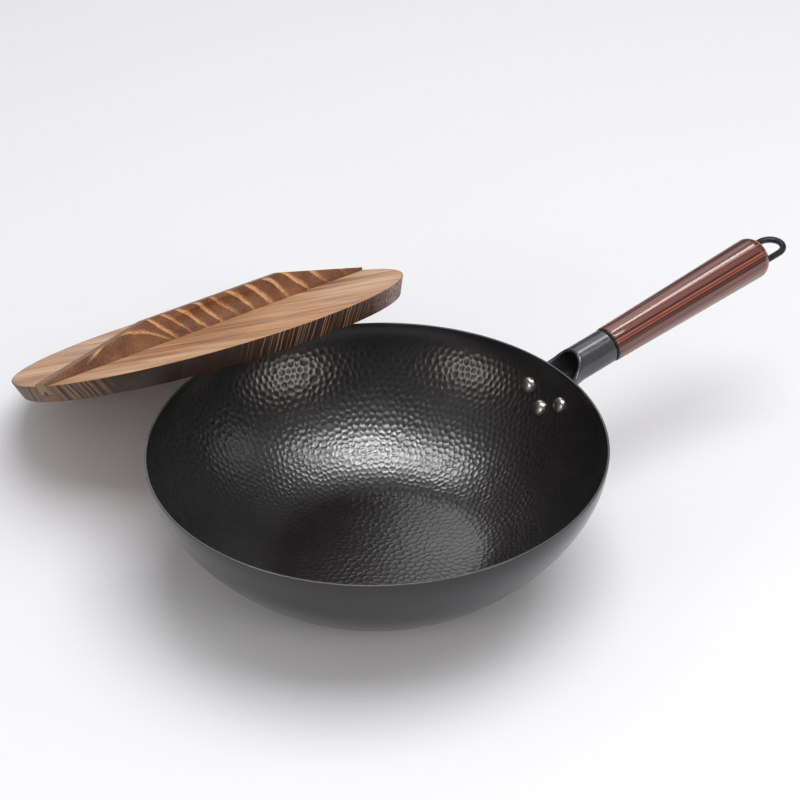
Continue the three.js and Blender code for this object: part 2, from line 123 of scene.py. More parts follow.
class Paint:
    """One output of a shader tree. Arithmetic on it adds Math nodes to that tree."""

    def __init__(self, tree, socket):
        self.tree = tree
        self.socket = socket

    def node(self, kind, inputs, output=0, **settings):
        made = self.tree.nodes.new(kind)
        for name, value in settings.items():
            setattr(made, name, value)
        for name, value in inputs.items():
            if isinstance(value, Paint):
                self.tree.links.new(value.socket, made.inputs[name])
            else:
                made.inputs[name].default_value = value
        return Paint(self.tree, made.outputs[output])

    def maths(self, operation, *others):
        inputs = {i: value for i, value in enumerate((self, *others))}
        return self.node("ShaderNodeMath", inputs, operation=operation)

    def __add__(self, other):
        return self.maths("ADD", other)

    def __sub__(self, other):
        return self.maths("SUBTRACT", other)

    def __mul__(self, other):
        return self.maths("MULTIPLY", other)

    def __truediv__(self, other):
        return self.maths("DIVIDE", other)

    def __rsub__(self, other):
        return (self * -1.0) + other

    __radd__ = __add__
    __rmul__ = __mul__

    def axis(self, name):
        return self.node("ShaderNodeSeparateXYZ", {0: self}, output="XYZ".index(name))

    def scaled(self, factors):
        return self.node("ShaderNodeVectorMath", {0: self, 1: factors}, operation="MULTIPLY")

    def measured(self, operation, *others):
        """One number from this vector, or from it and another."""
        inputs = {i: value for i, value in enumerate((self, *others))}
        return self.node("ShaderNodeVectorMath", inputs, output="Value", operation=operation)

    def step(self, low, high):
        """0 below low, 1 above high, smooth between."""
        inputs = {"Value": self, "From Min": low, "From Max": high}
        return self.node("ShaderNodeMapRange", inputs, interpolation_type="SMOOTHSTEP")

    def noise(self, scale, detail=3.0, rough=0.5):
        inputs = {"Vector": self, "Scale": scale, "Detail": detail, "Roughness": rough}
        return self.node("ShaderNodeTexNoise", inputs)

    def stripes(self, scale, detail):
        """Noise along this value alone."""
        inputs = {"W": self * scale, "Scale": 1.0, "Detail": detail}
        return self.node("ShaderNodeTexNoise", inputs, noise_dimensions="1D")

    def blend(self, low, high):
        """Colour between low and high, with this value as the share of high."""
        return self.node("ShaderNodeMix", {0: self, 6: low, 7: high}, output=2, data_type="RGBA")

    def bump(self, strength, distance):
        return self.node("ShaderNodeBump", {"Height": self, "Strength": strength, "Distance": distance})


def new_material(name, local=False, **constants):
    """A Principled material, its shader, and the spot on the piece, in the part's frame or its own."""
    made = bpy.data.materials.new(name)
    made.use_nodes = True
    tree = made.node_tree
    shader = tree.nodes["Principled BSDF"]
    for socket, value in constants.items():
        shader.inputs[socket.replace("_", " ")].default_value = value
    if local:
        attribute = tree.nodes.new("ShaderNodeAttribute")
        attribute.attribute_name = "place"
        return made, shader, Paint(tree, attribute.outputs["Vector"])
    return made, shader, Paint(tree, tree.nodes.new("ShaderNodeTexCoord").outputs["Object"])


def wire(shader, **paints):
    """Feeds paints into the shader's inputs."""
    for socket, paint in paints.items():
        paint.tree.links.new(paint.socket, shader.inputs[socket.replace("_", " ")])


rim_outer = arc((RIM_RADIUS - RIM_ROUND, BOWL_HEIGHT - RIM_ROUND), (RIM_ROUND, RIM_ROUND), 0, 90, 5)
rim_inner = arc((RIM_RADIUS - SHEET + RIM_ROUND, BOWL_HEIGHT - RIM_ROUND), (RIM_ROUND, RIM_ROUND), 90, 180, 5)
inner_wall = bowl_line(-SHEET, 400)
shell_line = [(0.0, 0.0), (BASE_RADIUS * 0.6, 0.0), *bowl_line(0, 64)[:-1], *rim_outer, *rim_inner]
wok_shell = add_piece("wok_shell", *turned(shell_line, SHELL_STEPS))

coat, coat_shader, spot = new_material("coat_outside", Specular_IOR_Level=0.55)
speckle = spot.noise(900.0, 2.0)
cloud = spot.noise(28.0, 3.0)
# The rounded cut edge is painted a lighter grey: partly bare steel, partly a painted highlight for the pale
# line of light along the rim.
bare_edge_and_sheen = spot.axis("Z").step(BOWL_HEIGHT - 0.0007, BOWL_HEIGHT - 0.0001)
coat_tone = cloud.step(0.3, 0.7).blend((0.006, 0.006, 0.0064, 1), (0.008, 0.008, 0.0085, 1))
wire(
    coat_shader,
    Base_Color=bare_edge_and_sheen.blend(coat_tone, (0.07, 0.07, 0.073, 1)),
    Roughness=cloud * 0.08 + 0.15,
    Normal=speckle.bump(0.1, 0.0003),
)
wok_shell.data.materials.append(coat)
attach(wok_shell, "wok")
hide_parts("wok_bowl")


# Bowl's inside: the same sheet, hammered all over, with the blows fading out just under the rim. They lie in
# rings, each a shallow pit with rounded ridges between it and its neighbours, under a satin black coat. The
# floor is dished a little and turns up into the wall in one soft curve.
BLOW_PITCH = 0.0043
BLOW_PITCH_HIGH = 0.005
BLOW_PITCH_LOW = 0.0053
BLOW_SHAKE = 0.36
BLOW_DEPTH = 0.0002
RIDGE_WIDTH = 0.0018
ROW_STEP = 0.98
PAST_RIM = 0.008
FADE_FROM = 0.023
FADE_TO = 0.005
FLOOR_DISH = 0.0023
DISH_END = 0.12
SOFT_SPAN = 80
SOFT_FROM = 0.1
SOFT_TO = 0.13
inner_wall[-1, 1] = BOWL_HEIGHT - RIM_ROUND
floor_run = np.stack([np.linspace(0, inner_wall[0, 0], 300), np.full(300, SHEET)], axis=1)[:-1]
inside_line = np.concatenate([floor_run, inner_wall])
inside_run = np.concatenate([[0], np.cumsum(np.linalg.norm(np.diff(inside_line, axis=0), axis=1))])
even_run = np.linspace(0, inside_run[-1], 900)
even_line = np.stack([np.interp(even_run, inside_run, inside_line[:, i]) for i in (0, 1)], axis=1)
dish_in = np.minimum(even_line[:, 0] / BASE_RADIUS, 1) ** 2
dish_out = np.clip((DISH_END - even_line[:, 0]) / (DISH_END - BASE_RADIUS), 0, 1)
even_line[:, 1] += FLOOR_DISH * dish_in * dish_out
window = np.hanning(2 * SOFT_SPAN + 1)
drawn_out = np.pad(even_line[:, 1], SOFT_SPAN, mode="reflect", reflect_type="odd")
soft_height = np.convolve(drawn_out, window / window.sum(), mode="valid")
above = np.clip((even_line[:, 0] - SOFT_FROM) / (SOFT_TO - SOFT_FROM), 0, 1)
even_line[:, 1] = above * even_line[:, 1] + (1 - above) * soft_height


def inside_spot(run):
    """(radius, height) on the bowl's inside at a distance along its profile from the middle of the floor."""
    return np.interp(run, even_run, even_line[:, 0]), np.interp(run, even_run, even_line[:, 1])


def ring_grid(low, high, rows, columns):
    """Runs and angles of a closed band of the inside."""
    runs = np.linspace(low, high, rows + 1)
    angles = np.linspace(0, 2 * math.pi, columns, endpoint=False)
    return np.meshgrid(runs, angles, indexing="ij")


def disc_grid(reach, count):
    """Runs and angles of the floor: a square grid pulled out into a disc, so that no corner is crowded."""
    across, along = np.meshgrid(np.linspace(-1, 1, count + 1), np.linspace(-1, 1, count + 1), indexing="ij")
    wide = np.abs(across) > np.abs(along)
    ratio = np.divide(
        np.where(wide, along, across),
        np.where(wide, across, along),
        out=np.zeros_like(across),
        where=np.maximum(np.abs(across), np.abs(along)) > 0,
    )
    angles = np.where(wide, ratio * math.pi / 4, math.pi / 2 - ratio * math.pi / 4)
    angles = angles + np.where(np.where(wide, across, along) < 0, math.pi, 0)
    return np.maximum(np.abs(across), np.abs(along)) * reach, angles


def on_inside(runs, angles):
    radius, height = inside_spot(runs)
    return np.stack([radius * np.cos(angles), radius * np.sin(angles), height], axis=-1).reshape(-1, 3)


floor_reach = 0.07
wall_middle = 0.122
floor_count = 226
disc_corner = np.arange(floor_count)[:, None] * (floor_count + 1) + np.arange(floor_count)[None, :]
disc_faces = np.stack(
    [disc_corner, disc_corner + floor_count + 1, disc_corner + floor_count + 2, disc_corner + 1], axis=-1
).reshape(-1, 4)
columns = 1248
rows = 78
ring_corner = np.arange(rows)[:, None] * columns
column = np.arange(columns)[None, :]
turn_on = (column + 1) % columns
ring_faces = np.stack(
    [
        ring_corner + column,
        ring_corner + columns + column,
        ring_corner + columns + turn_on,
        ring_corner + turn_on,
    ],
    axis=-1,
).reshape(-1, 4)[:, ::-1]
inside_pieces = {
    "wok_floor": (on_inside(*disc_grid(floor_reach, floor_count)), disc_faces),
    "wok_wall_low": (on_inside(*ring_grid(floor_reach, wall_middle, rows, columns)), ring_faces),
    "wok_wall_high": (on_inside(*ring_grid(wall_middle, inside_run[-1], rows, columns)), ring_faces),
}

pitch_radii = (0.05, 0.085, 0.095, 0.15)
pitches = (BLOW_PITCH_LOW, BLOW_PITCH, BLOW_PITCH, BLOW_PITCH_HIGH)
shake = np.random.default_rng(7)
blows = []
row = 0
run_out = 0.0
while run_out < inside_run[-1] + PAST_RIM:
    out = inside_spot(run_out)[0].item()
    pitch = np.interp(out, pitch_radii, pitches).item()
    count = max(1, round(2 * math.pi * out / pitch))
    for i in range(count):
        turn = 2 * math.pi * (i + 0.5 * (row % 2) + shake.uniform(-BLOW_SHAKE, BLOW_SHAKE)) / count
        blows.append((abs(run_out + shake.uniform(-BLOW_SHAKE, BLOW_SHAKE) * pitch), turn))
    row += 1
    run_out += ROW_STEP * pitch
blow_runs, blow_turns = np.array(blows).T
flat_spots = [Vector((run * math.cos(turn), run * math.sin(turn))) for run, turn in blows]
net = delaunay_2d_cdt(flat_spots, [], [], 0, 1e-7)
blow_net = add_piece("blow_net", on_inside(blow_runs, blow_turns), net[2])

hammering = bpy.data.node_groups.new("hammering", "GeometryNodeTree")
hammering.interface.new_socket("Sheet", in_out="INPUT", socket_type="NodeSocketGeometry")
for label, kind in (
    ("Blows", "NodeSocketObject"),
    ("Depth", "NodeSocketFloat"),
    ("Ridge width", "NodeSocketFloat"),
    ("Fade from", "NodeSocketFloat"),
    ("Fade to", "NodeSocketFloat"),
    ("Coat", "NodeSocketMaterial"),
):
    hammering.interface.new_socket(label, in_out="INPUT", socket_type=kind)
hammering.interface.new_socket("Sheet", in_out="OUTPUT", socket_type="NodeSocketGeometry")


def hammer_node(kind, links, **settings):
    """First output of a new node in the hammering, its inputs joined to sockets or set to values."""
    made = hammering.nodes.new(kind)
    for name, value in settings.items():
        setattr(made, name, value)
    for name, value in links.items():
        if isinstance(value, bpy.types.NodeSocket):
            hammering.links.new(value, made.inputs[name])
        else:
            made.inputs[name].default_value = value
    return made.outputs[0] if made.outputs else None


def times(first, second):
    return hammer_node("ShaderNodeMath", {0: first, 1: second}, operation="MULTIPLY")


def ranged(value, low, high, to_low=0.0, to_high=1.0, curve="SMOOTHSTEP"):
    """A value taken from one range to another, and held at its ends."""
    links = {"Value": value, "From Min": low, "From Max": high, "To Min": to_low, "To Max": to_high}
    return hammer_node("ShaderNodeMapRange", links, interpolation_type=curve)


given = hammering.nodes.new("NodeGroupInput").outputs
marks = hammering.nodes.new("GeometryNodeObjectInfo")
hammering.links.new(given["Blows"], marks.inputs["Object"])
ridges = hammer_node("GeometryNodeDualMesh", {0: marks.outputs["Geometry"]})
nearest = hammering.nodes.new("GeometryNodeProximity")
nearest.target_element = "EDGES"
hammering.links.new(ridges, nearest.inputs[0])
from_ridge = nearest.outputs["Distance"]
where = hammer_node("GeometryNodeInputPosition", {})
split = hammering.nodes.new("ShaderNodeSeparateXYZ")
hammering.links.new(where, split.inputs[0])
level = split.outputs["Z"]

rounder = ranged(level, 0.015, 0.055, 1.4, 0.95, curve="LINEAR")
pit = ranged(times(from_ridge, rounder), 0.0, given["Ridge width"])
fade = ranged(level, given["Fade from"], given["Fade to"], 1.0, 0.0)
softer = ranged(level, 0.002, 0.06, 0.7, 1.4, curve="LINEAR")
patchy = hammer_node("ShaderNodeTexNoise", {"Vector": where, "Scale": 90.0, "Detail": 1.0})
uneven = ranged(patchy, 0.3, 0.7, 0.6, 1.25, curve="LINEAR")
press = times(times(pit, given["Depth"]), times(fade, softer))
press = times(times(press, uneven), -1.0)
normal = hammer_node("GeometryNodeInputNormal", {})
offset = hammer_node("ShaderNodeVectorMath", {0: normal, "Scale": press}, operation="SCALE")
moved = hammer_node("GeometryNodeSetPosition", {"Geometry": given["Sheet"], "Offset": offset})

high_up = ranged(level, 0.042, 0.06)
sunk = ranged(from_ridge, 0.0004, 0.0022)
dull = times(times(sunk, fade), high_up)
kept = {"Geometry": moved, "Name": "dull", "Value": dull}
moved = hammer_node("GeometryNodeStoreNamedAttribute", kept)
real = hammer_node("GeometryNodeRealizeInstances", {0: moved})
coated = hammer_node("GeometryNodeSetMaterial", {"Geometry": real, "Material": given["Coat"]})
hammer_node("NodeGroupOutput", {0: coated})

inner_coat, inner_shader, spot = new_material(
    "coat_inside", Specular_IOR_Level=0.3, Coat_IOR=1.7, Coat_Roughness=0.25
)
speckle = spot.noise(1100.0, 2.0)
cloud = spot.noise(30.0, 3.0)
wire(
    inner_shader,
    Base_Color=cloud.step(0.3, 0.7).blend((0.0085, 0.0085, 0.009, 1), (0.0115, 0.0113, 0.0115, 1)),
    Roughness=cloud * 0.1 + 0.35,
    Coat_Weight=1.0 - spot.node("ShaderNodeAttribute", {}, output="Fac", attribute_name="dull") * 0.7,
    Normal=speckle.bump(0.1, 0.0003),
)


def evaluated(piece):
    """Replaces a piece's mesh by its evaluated one and drops its modifiers."""
    bpy.context.view_layer.update()
    shown = piece.evaluated_get(bpy.context.evaluated_depsgraph_get())
    mesh = bpy.data.meshes.new_from_object(shown)
    piece.modifiers.clear()
    piece.data = mesh


inside_spots = np.concatenate([spots for spots, _ in inside_pieces.values()])
firsts = np.cumsum([0] + [len(spots) for spots, _ in inside_pieces.values()])
inside_faces = np.concatenate(
    [quads + first for (_, quads), first in zip(inside_pieces.values(), firsts)]
)
whole = add_piece("wok_inside", inside_spots, inside_faces.tolist())
modifier = whole.modifiers.new("hammering", "NODES")
modifier.node_group = hammering
settings = {
    "Blows": blow_net,
    "Depth": BLOW_DEPTH,
    "Ridge width": RIDGE_WIDTH,
    "Fade from": inside_spot(inside_run[-1] - FADE_FROM)[1].item(),
    "Fade to": inside_spot(inside_run[-1] - FADE_TO)[1].item(),
    "Coat": inner_coat,
}
for item in hammering.interface.items_tree:
    if item.in_out == "INPUT" and item.name in settings:
        modifier[item.identifier] = settings[item.name]
evaluated(whole)
bpy.data.objects.remove(blow_net)

# The floor and the two bands of wall are hammered as one sheet and share their normals where they meet.
co = np.empty(inside_spots.size)
whole.data.vertices.foreach_get("co", co)
co = co.reshape(-1, 3)
dulled = np.empty(len(co), np.float32)
whole.data.attributes["dull"].data.foreach_get("value", dulled)
_, shared = np.unique(np.round(co, 6), axis=0, return_inverse=True)
shared = shared.ravel()
corners = [co[inside_faces[:, side]] for side in range(4)]
face_normals = np.cross(corners[2] - corners[0], corners[3] - corners[1])
summed = np.zeros((shared.max() + 1, 3))
for side in range(4):
    np.add.at(summed, shared[inside_faces[:, side]], face_normals)
normals = (summed / np.linalg.norm(summed, axis=1)[:, None])[shared]
for (name, (spots, quads)), first in zip(inside_pieces.items(), firsts):
    own = slice(first, first + len(spots))
    piece = add_piece(name, co[own], quads.tolist())
    piece.data.normals_split_custom_set_from_vertices(normals[own].tolist())
    piece.data.attributes.new("dull", "FLOAT", "POINT").data.foreach_set("value", dulled[own])
    piece.data.materials.append(inner_coat)
    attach(piece, "wok")
bpy.data.objects.remove(whole)


# Rivets: three nickel-plated steel rivets with domed heads inside the bowl. Each is pushed through the sheet
# and the bracket's foot, and its tail is hammered over in a pocket of the bracket.
HEAD_RADIUS = 0.006
HEAD_RISE = 0.0029
HEAD_EDGE = 0.0004
SHANK_RADIUS = 0.0025
TAIL_RADIUS = 0.004
TAIL_SEAT = 0.0031
UPPER_DROP = 0.0233
UPPER_SPREAD = 0.0176
LOWER_DROP = 0.033


def rivet_place(drop, spread):
    """Frame of a rivet: on the outer wall, +Z along the wall's outward normal."""
    wall = bowl_line(0, 2000)
    i = int(np.argmin(np.abs(wall[:, 1] - (BOWL_HEIGHT - drop))))
    along = wall[i + 1] - wall[i - 1]
    turn = math.asin(spread / wall[i, 0])
    tilt = math.pi / 2 - math.atan2(-along[0], along[1])
    spot = Vector((wall[i, 0] * math.cos(turn), wall[i, 0] * math.sin(turn), wall[i, 1]))
    return Matrix.Translation(spot) @ Matrix.Rotation(turn, 4, "Z") @ Matrix.Rotation(tilt, 4, "Y")


def add_placed(name, local, faces, place):
    """A piece given in a local frame, which its 'place' attribute keeps."""
    turn = np.array(place.to_3x3())
    return add_piece(name, local @ turn.T + np.array(place.translation), faces, local)


nickel, nickel_shader, spot = new_material("nickel", local=True, Metallic=1.0)
grime = spot.noise(700.0, 3.0)
wire(
    nickel_shader,
    Base_Color=grime.step(0.3, 0.7).blend((0.5, 0.475, 0.44, 1), (0.62, 0.59, 0.55, 1)),
    Roughness=grime * 0.1 + 0.25,
    Normal=grime.bump(0.01, 0.0002),
)
head_dome = arc((0, -SHEET - HEAD_EDGE), (HEAD_RADIUS, HEAD_RISE), -90, -4, 20)
head_dome[0, 0] = 0
rivet_line = [
    *head_dome,
    (HEAD_RADIUS, -SHEET),
    (SHANK_RADIUS, -SHEET),
    (SHANK_RADIUS, TAIL_SEAT),
    (TAIL_RADIUS, TAIL_SEAT),
    (TAIL_RADIUS, TAIL_SEAT + 0.0009),
    (TAIL_RADIUS - 0.0006, TAIL_SEAT + 0.0016),
    (0.0, TAIL_SEAT + 0.0018),
]
for name, drop, spread in (
    ("rivet_left", UPPER_DROP, UPPER_SPREAD),
    ("rivet_right", UPPER_DROP, -UPPER_SPREAD),
    ("rivet_lower", LOWER_DROP, 0.0),
):
    rivet = add_placed(name + "_dome", *turned(rivet_line, 64), rivet_place(drop, spread))
    rivet.data.set_sharp_from_angle(angle=math.radians(50))
    rivet.data.materials.append(nickel)
    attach(rivet, "wok")
    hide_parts(name)


# Bracket: a cast steel tube that flares into an oval foot riveted to the bowl, open on top, and painted a
# dark satin grey. All its edges are rounded by the casting and the paint.
HANDLE_HEIGHT = 0.0893
HANDLE_RISE = math.radians(8.3)
CAST_VOXEL = 0.00046
handle_frame = Matrix.Translation((RIM_RADIUS, 0, HANDLE_HEIGHT)) @ Matrix.Rotation(-HANDLE_RISE, 4, "Y")


def cad_copy(node, name):
    """A merged copy of a CAD node's mesh, its flat faces joined up."""
    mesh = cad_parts[node].data.copy()
    work = bmesh.new()
    work.from_mesh(mesh)
    bmesh.ops.remove_doubles(work, verts=work.verts, dist=1e-6)
    bmesh.ops.dissolve_limit(work, angle_limit=math.radians(0.4), verts=work.verts, edges=work.edges)
    bmesh.ops.recalc_face_normals(work, faces=work.faces)
    work.to_mesh(mesh)
    work.free()
    mesh.materials.clear()
    piece = bpy.data.objects.new(name, mesh)
    scene.collection.objects.link(piece)
    return piece


def keep_place(piece, place):
    """Stores each vertex's spot in a local frame as the 'place' attribute."""
    if "place" in piece.data.attributes:
        piece.data.attributes.remove(piece.data.attributes["place"])
    spots = np.empty(len(piece.data.vertices) * 3)
    piece.data.vertices.foreach_get("co", spots)
    back = place.inverted()
    spots = spots.reshape(-1, 3) @ np.array(back.to_3x3()).T + np.array(back.translation)
    attribute = piece.data.attributes.new("place", "FLOAT_VECTOR", "POINT")
    attribute.data.foreach_set("vector", spots.astype(np.float32).ravel())


bracket = cad_copy("handle_bracket", "bracket_cast")
remesh = bracket.modifiers.new("cast", "REMESH")
remesh.mode = "VOXEL"
remesh.voxel_size = CAST_VOXEL
smooth = bracket.modifiers.new("rounded", "SMOOTH")
smooth.factor = 0.5
smooth.iterations = 20
evaluated(bracket)
bracket.data.shade_smooth()
keep_place(bracket, handle_frame)
paint, paint_shader, spot = new_material("bracket_paint", local=True, Metallic=0.4, Specular_IOR_Level=0.7)
orange = spot.noise(420.0, 2.0)
wear = spot.noise(60.0, 4.0)
wire(
    paint_shader,
    Base_Color=wear.step(0.3, 0.7).blend((0.055, 0.055, 0.059, 1), (0.075, 0.075, 0.08, 1)),
    Roughness=wear * 0.12 + 0.2,
    Normal=orange.bump(0.06, 0.0004),
)
bracket.data.materials.append(paint)
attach(bracket, "wok")
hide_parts("handle_bracket")


# Stud, nut and lock washer: plated steel, inside the bracket's tube, where they pull the grip against it.
# A thin black fibre washer between the two keeps the tube's heat from the wood.
zinc, zinc_shader, spot = new_material("zinc", Metallic=1.0)
plating = spot.noise(500.0, 3.0)
wire(
    zinc_shader,
    Base_Color=plating.step(0.3, 0.7).blend((0.3, 0.3, 0.31, 1), (0.45, 0.45, 0.46, 1)),
    Roughness=plating * 0.2 + 0.28,
)
for name in ("grip_stud", "stud_nut", "lock_washer"):
    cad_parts[name].material_slots[0].material = zinc
fibre, fibre_shader, spot = new_material("fibre")
fluff = spot.noise(900.0, 4.0)
wire(
    fibre_shader,
    Base_Color=fluff.step(0.3, 0.7).blend((0.004, 0.004, 0.004, 1), (0.009, 0.009, 0.009, 1)),
    Roughness=fluff * 0.2 + 0.55,
)
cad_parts["heat_washer"].material_slots[0].material = fibre


# Grip: a bar of thin dyed veneers glued up flat, red-brown and near black, turned to a slow taper with a
# domed tail, then lacquered to a gloss. The veneers run along the grip, so their edges show as straight
# stripes. The stud draws it up against the fibre washer.
GRIP_FOOT = 0.0536
GRIP_LENGTH = 0.158
GRIP_FRONT = 0.0137
FRONT_ROUND = 0.001
GRIP_BACK = 0.0164
TAIL_FLAT = 0.0035
TAIL_DEPTH = 0.0115
tail_dome = arc((TAIL_FLAT, GRIP_LENGTH - TAIL_DEPTH), (GRIP_BACK - TAIL_FLAT, TAIL_DEPTH), 0, 90, 24)
front_edge = arc((GRIP_FRONT - FRONT_ROUND, FRONT_ROUND), (FRONT_ROUND, FRONT_ROUND), -90, 0, 6)
taper = np.linspace((GRIP_FRONT, FRONT_ROUND), (GRIP_BACK, GRIP_LENGTH - TAIL_DEPTH), 13)[1:-1]
grip_line = [(0.0, 0.0), (0.004, 0.0), *front_edge, *taper, *tail_dome, (0.0, GRIP_LENGTH)]
along_handle = Matrix.Rotation(math.pi / 2, 4, "Y")
grip_frame = handle_frame @ Matrix.Translation((GRIP_FOOT, 0, 0)) @ along_handle
grip = add_placed("grip_veneer", *turned(grip_line, 128), grip_frame)
grip.data.set_sharp_from_angle(angle=math.radians(50))
veneer, veneer_shader, spot = new_material(
    "veneer", local=True, Coat_Weight=0.9, Coat_Roughness=0.07, Specular_IOR_Level=0.4
)
drift = spot.scaled((1.0, 1.0, 0.12)).noise(60.0, 3.0)
across = spot.axis("X") * 0.74 - spot.axis("Y") * 0.67 + drift * 0.0006
layers = across.stripes(560.0, 2.0)
fine = across.stripes(1500.0, 1.0)
pores = spot.scaled((1.0, 1.0, 0.03)).noise(2200.0, 2.0)
tone = layers * 0.72 + fine * 0.28
red = tone.step(0.54, 0.62).blend((0.19, 0.04, 0.026, 1), (0.4, 0.11, 0.062, 1))
dark = tone.step(0.46, 0.5).blend((0.026, 0.018, 0.018, 1), red)
grained = (pores.step(0.35, 0.75) * 0.35).blend(dark, (0.02, 0.01, 0.009, 1))
wire(veneer_shader, Base_Color=grained, Roughness=tone * 0.2 + 0.3)
grip.data.materials.append(veneer)
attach(grip, "wok")
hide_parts("handle_grip")


# Hanging loop: one steel wire, blackened and bent into a long eye that hangs on a hook. Both its legs are
# pushed into holes in the grip's tail.
LOOP_WIRE = 0.0025
LOOP_HALF = 0.0106
LOOP_LEG = 0.0292
LOOP_SUNK = 0.02
LOOP_SIDES = 28
bend = np.linspace(-math.pi / 2, math.pi / 2, 41)
loop_path = [(x, -LOOP_HALF, -math.pi / 2) for x in np.linspace(0, LOOP_LEG, 8)[:-1]]
loop_path += [(LOOP_LEG + LOOP_HALF * math.cos(a), LOOP_HALF * math.sin(a), a) for a in bend]
loop_path += [(x, LOOP_HALF, math.pi / 2) for x in np.linspace(LOOP_LEG, 0, 8)[1:]]
loop_vertices = []
for x, y, out in loop_path:
    for turn in np.linspace(0, 2 * math.pi, LOOP_SIDES, endpoint=False):
        reach = LOOP_WIRE * math.cos(turn)
        rise = LOOP_WIRE * math.sin(turn)
        loop_vertices.append((x + reach * math.cos(out), y + reach * math.sin(out), rise))
last_ring = (len(loop_path) - 1) * LOOP_SIDES
loop_faces = []
for ring in range(0, last_ring, LOOP_SIDES):
    for i in range(LOOP_SIDES):
        after = (i + 1) % LOOP_SIDES
        loop_faces.append([ring + i, ring + LOOP_SIDES + i, ring + LOOP_SIDES + after, ring + after])
loop_faces.append(list(range(LOOP_SIDES)))
loop_faces.append([last_ring + i for i in reversed(range(LOOP_SIDES))])
loop_frame = handle_frame @ Matrix.Translation((GRIP_FOOT + GRIP_LENGTH - LOOP_SUNK, 0, 0))
loop = add_placed("loop_wire", np.array(loop_vertices), loop_faces, loop_frame)
loop.data.set_sharp_from_angle(angle=math.radians(60))
black, black_shader, spot = new_material("blackened_wire", local=True, Metallic=0.7)
scuff = spot.noise(350.0, 4.0)
wire(
    black_shader,
    Base_Color=scuff.step(0.35, 0.7).blend((0.035, 0.035, 0.037, 1), (0.055, 0.055, 0.058, 1)),
    Roughness=scuff * 0.2 + 0.26,
)
loop.data.materials.append(black)
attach(loop, "wok")
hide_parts("hanging_loop")


# Lid planks: five boards of scorched and brushed softwood, edge-glued into a disc with a bevelled rim. The
# boards run across the bar, their sawn ends make up the near and far rim, and scorching has darkened the rim.
LID_TILT = math.radians(26.34)
LID_SIDE = math.radians(85.62)
LID_SPIN = math.radians(-78.96)
LID_SHIFT = 0.0051
LID_GAP = 0.0003
LID_THICK = 0.0135
LID_LOW = 0.1495
LID_HIGH = 0.155
BOARD_ROUND = 0.0007
GRAIN_TURN = math.radians(-17)
RING_WIDTH = 0.0034
lid_slide = BOWL_HEIGHT / math.sin(LID_TILT) - LID_LOW
lid_frame = (
    Matrix.Rotation(LID_SIDE, 4, "Z")
    @ Matrix.Translation(
        (
            RIM_RADIUS + lid_slide * math.cos(LID_TILT) + LID_GAP * math.sin(LID_TILT),
            LID_SHIFT,
            BOWL_HEIGHT - lid_slide * math.sin(LID_TILT) + LID_GAP * math.cos(LID_TILT),
        )
    )
    @ Matrix.Rotation(LID_TILT, 4, "Y")
    @ Matrix.Rotation(LID_SPIN, 4, "Z")
)


def rounded(piece, width):
    """Rounds a piece's edges and evaluates it."""
    bevel = piece.modifiers.new("round", "BEVEL")
    bevel.width = width
    bevel.segments = 3
    bevel.limit_method = "ANGLE"
    bevel.angle_limit = math.radians(28)
    evaluated(piece)
    piece.data.shade_smooth()
    piece.data.set_sharp_from_angle(angle=math.radians(40))


